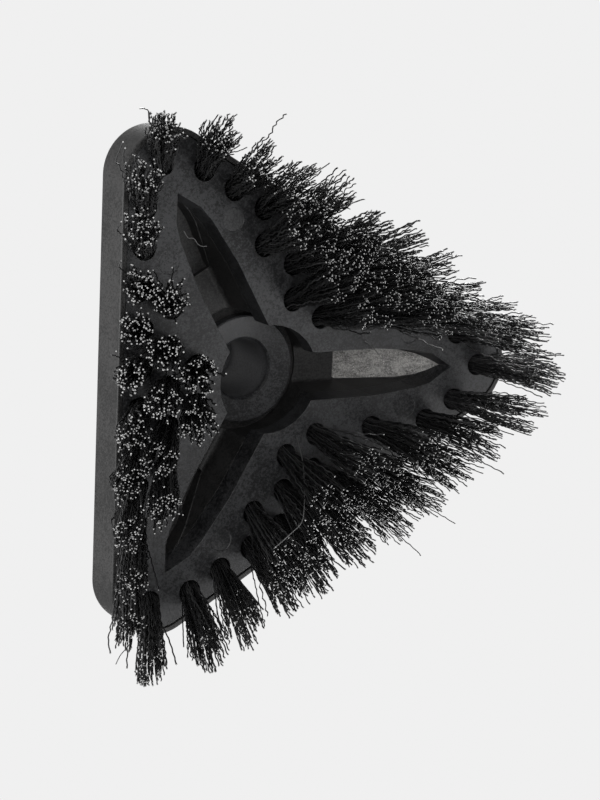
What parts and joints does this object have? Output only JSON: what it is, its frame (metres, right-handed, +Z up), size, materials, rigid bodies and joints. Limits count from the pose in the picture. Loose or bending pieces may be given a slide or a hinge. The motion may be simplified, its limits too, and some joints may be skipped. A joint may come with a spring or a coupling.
{
  "type": "manual pool vacuum head",
  "caption": "Triangular weighted pool suction head with crimped bristle tufts, star-shaped channels, a turning hose tail and a folding pole yoke with snap buttons.",
  "frame": {"origin": "on the floor, under the middle of the head's overall box, with the bristle tips on the floor and the yoke folded down over the front corner", "axes": "+Z up along the hub and hose tail, +X towards the front corner, +Y to the left side"},
  "size_m": [0.2732, 0.2912, 0.1435],
  "materials": {
    "cover_plastic": "matte moulded, fine grain",
    "brush_block_plastic": "matte moulded, fine grain",
    "swivel_plastic": "satin moulded",
    "handle_plastic": "satin moulded",
    "button_plastic": "smooth moulded",
    "slip_washer": "smooth",
    "seal_rubber": "smooth rubber",
    "spring_steel": "bright spring steel",
    "stainless_screw": "passivated",
    "anchor_wire": "drawn wire",
    "weight_zinc": "rough galvanised",
    "bristle_nylon": "crimped filaments"
  },
  "bodies": {
    "head": {"top_cover": "cover_plastic", "brush_base": "brush_block_plastic", "cover_screws": "stainless_screw", "thrust_washer": "slip_washer", "pivot_bolts": "stainless_screw", "pivot_washers": "stainless_screw", "pivot_nuts": "stainless_screw", "weight_front": "weight_zinc", "tuft_anchors": "anchor_wire", "corner_tufts": "bristle_nylon", "outer_tufts_left": "bristle_nylon", "outer_tufts_rear": "bristle_nylon", "outer_tufts_right": "bristle_nylon", "middle_tufts_left": "bristle_nylon", "middle_tufts_rear": "bristle_nylon", "middle_tufts_right": "bristle_nylon", "inner_tufts_left": "bristle_nylon", "inner_tufts_rear": "bristle_nylon", "inner_tufts_right": "bristle_nylon"},
    "swivel": {"hose_swivel": "swivel_plastic", "swivel_seal": "seal_rubber", "retaining_ring": "spring_steel"},
    "handle": {"handle_yoke": "handle_plastic", "pole_spring": "spring_steel"},
    "left_button": {"pole_button_left": "button_plastic"},
    "right_button": {"pole_button_right": "button_plastic"}
  },
  "joints": [
    {"name": "hose_swivel_turn", "type": "hinge", "parent": "head", "child": "swivel", "pos_m": [-0.03027, 0, 0.088], "axis": [0, 0, 1], "continuous": true},
    {"name": "handle_tilt", "type": "hinge", "parent": "head", "child": "handle", "pos_m": [-0.03027, 0, 0.1024], "axis": [0, -1, 0], "range_deg": [0, 186]},
    {"name": "left_button_press", "type": "slide", "parent": "handle", "child": "left_button", "axis": [0, -1, 0], "range_m": [0, 0.0055], "stiffness_N_per_m": 600, "springref_m": -0.002, "deforming": ["pole_spring"]},
    {"name": "right_button_press", "type": "slide", "parent": "handle", "child": "right_button", "axis": [0, 1, 0], "range_m": [0, 0.0055], "stiffness_N_per_m": 600, "springref_m": -0.002, "deforming": ["pole_spring"]}
  ]
}
